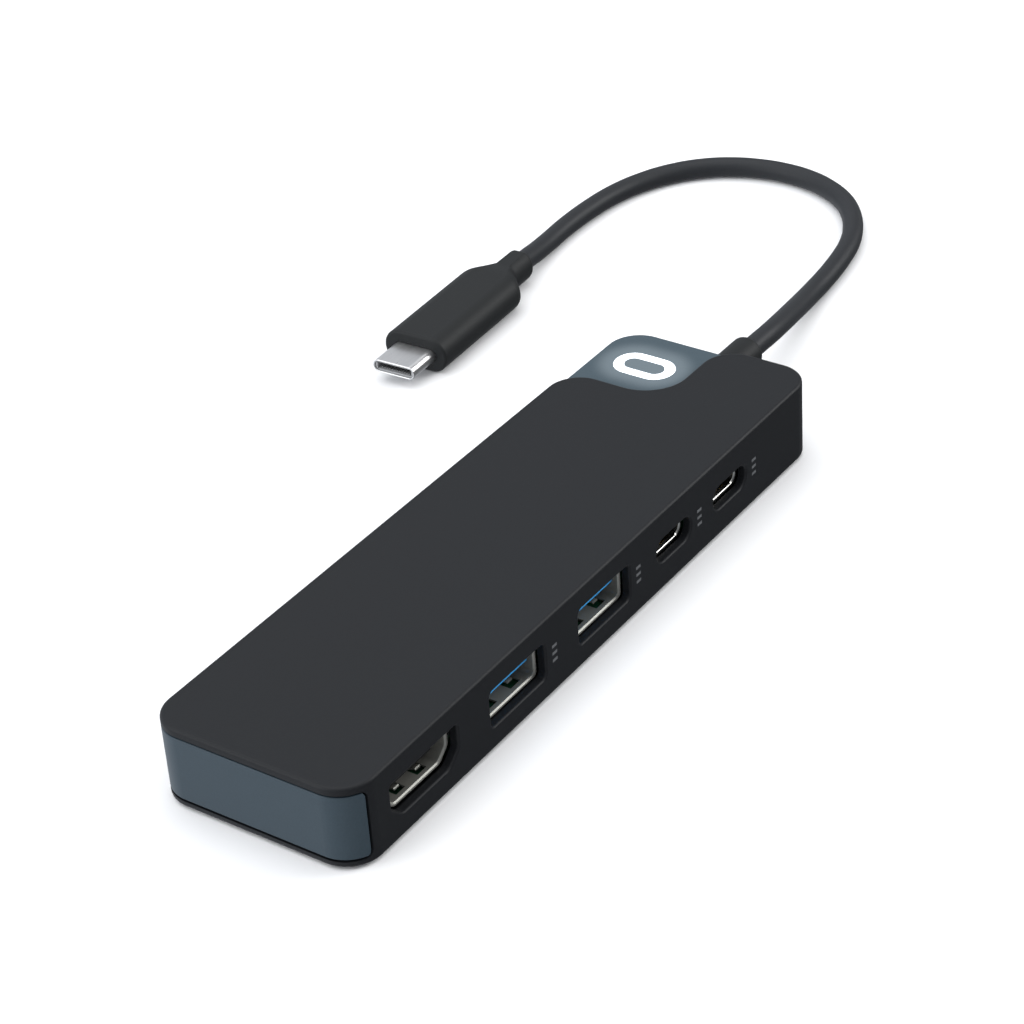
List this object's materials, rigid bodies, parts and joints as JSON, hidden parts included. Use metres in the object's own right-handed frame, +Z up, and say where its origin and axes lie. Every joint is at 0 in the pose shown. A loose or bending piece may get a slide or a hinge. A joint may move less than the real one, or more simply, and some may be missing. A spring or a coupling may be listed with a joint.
{
  "type": "laptop docking station",
  "caption": "Slim docking hub with a row of data and video ports along one side, a lit corner tile, a slate end panel and a short fixed lead with a plug.",
  "frame": {"origin": "on the surface that the hub stands on, under the middle of the case", "axes": "+X along the case towards the end that the lead leaves, +Y away from the side with the ports, +Z up"},
  "size_m": [0.2035, 0.0788, 0.0137],
  "materials": {
    "case_black": "fine matt texture",
    "cover_black": "fine matt texture",
    "foot_rubber": "matt",
    "panel_slate": "satin",
    "tile_slate": "satin translucent",
    "emblem_light": "lit white diffuser",
    "guide_clear": "milky clear",
    "led": "clear lens",
    "board_green": "solder mask",
    "chip_black": "moulded epoxy",
    "crystal_can": "satin",
    "coil_grey": "ferrite",
    "capacitor_tan": "ceramic",
    "screw_steel": "zinc plated",
    "port_shell": "nickel plated",
    "insulator_black": "moulded",
    "insulator_blue": "moulded",
    "contact_gold": "gold flash",
    "boot_black": "soft matt",
    "wire_insulation": "PVC",
    "cord_black": "soft matt",
    "plug_black": "soft matt",
    "plug_steel": "nickel plated"
  },
  "bodies": {
    "root": {"board_screw_1": "screw_steel", "board_screw_2": "screw_steel", "board_screw_3": "screw_steel", "board_screw_4": "screw_steel", "bottom_cover": "cover_black", "cable_boot": "boot_black", "capacitor_1": "capacitor_tan", "capacitor_2": "capacitor_tan", "capacitor_3": "capacitor_tan", "capacitor_4": "capacitor_tan", "capacitor_5": "capacitor_tan", "capacitor_6": "capacitor_tan", "clock_crystal": "crystal_can", "cord": "cord_black", "corner_tile": "tile_slate", "end_panel": "panel_slate", "hdmi_contacts": "contact_gold", "hdmi_insulator": "insulator_black", "hdmi_shell": "port_shell", "hub_chip": "chip_black", "lead_wire_1": "wire_insulation", "lead_wire_2": "wire_insulation", "lead_wire_3": "wire_insulation", "lead_wire_4": "wire_insulation", "lead_wire_5": "wire_insulation", "light_guide": "guide_clear", "lit_emblem": "emblem_light", "main_board": "board_green", "memory_chip": "chip_black", "plug_board": "board_green", "plug_contacts": "contact_gold", "plug_insulator": "insulator_black", "plug_overmold": "plug_black", "plug_shell": "plug_steel", "power_chip": "chip_black", "power_coil_1": "coil_grey", "power_coil_2": "coil_grey", "rubber_foot_1": "foot_rubber", "rubber_foot_2": "foot_rubber", "status_led_1": "led", "status_led_2": "led", "top_case": "case_black", "usb_a_contacts_1": "contact_gold", "usb_a_contacts_2": "contact_gold", "usb_a_insulator_1": "insulator_blue", "usb_a_insulator_2": "insulator_blue", "usb_a_shell_1": "port_shell", "usb_a_shell_2": "port_shell", "usb_c_base_1": "insulator_black", "usb_c_base_2": "insulator_black", "usb_c_contacts_1": "contact_gold", "usb_c_contacts_2": "contact_gold", "usb_c_insulator_1": "insulator_black", "usb_c_insulator_2": "insulator_black", "usb_c_shell_1": "port_shell", "usb_c_shell_2": "port_shell", "video_chip": "chip_black"}
  },
  "joints": []
}
